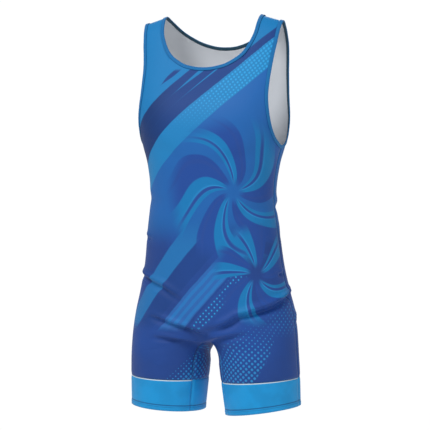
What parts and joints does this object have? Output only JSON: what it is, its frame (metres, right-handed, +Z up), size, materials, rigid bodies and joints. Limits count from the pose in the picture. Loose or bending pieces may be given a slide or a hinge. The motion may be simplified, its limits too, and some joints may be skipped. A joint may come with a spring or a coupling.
{
  "type": "wrestling singlet",
  "caption": "Sleeveless one-piece wrestling suit, filled out as worn, with a scooped neck, deep armholes and short legs that end in pale bands.",
  "frame": {"origin": "where the wearer's shoulders hold the garment: midway between the tops of the two straps", "axes": "+Z up, the front faces -Y, the wearer's left is +X"},
  "size_m": [0.347, 0.2169, 0.7877],
  "materials": {
    "printed_knit": "sublimation-printed stretch knit, royal and azure blue, soft satin sheen, pale inside",
    "leg_band": "bright azure stretch knit with a turned-up hem",
    "binding_tape": "narrow folded knit tape, teal blue"
  },
  "bodies": {
    "root": {"front_panel": "printed_knit", "back_panel": "printed_knit", "front_leg_band_left": "leg_band", "front_leg_band_right": "leg_band", "back_leg_band_left": "leg_band", "back_leg_band_right": "leg_band", "neck_binding": "binding_tape", "armhole_binding_left": "binding_tape", "armhole_binding_right": "binding_tape"}
  },
  "joints": []
}
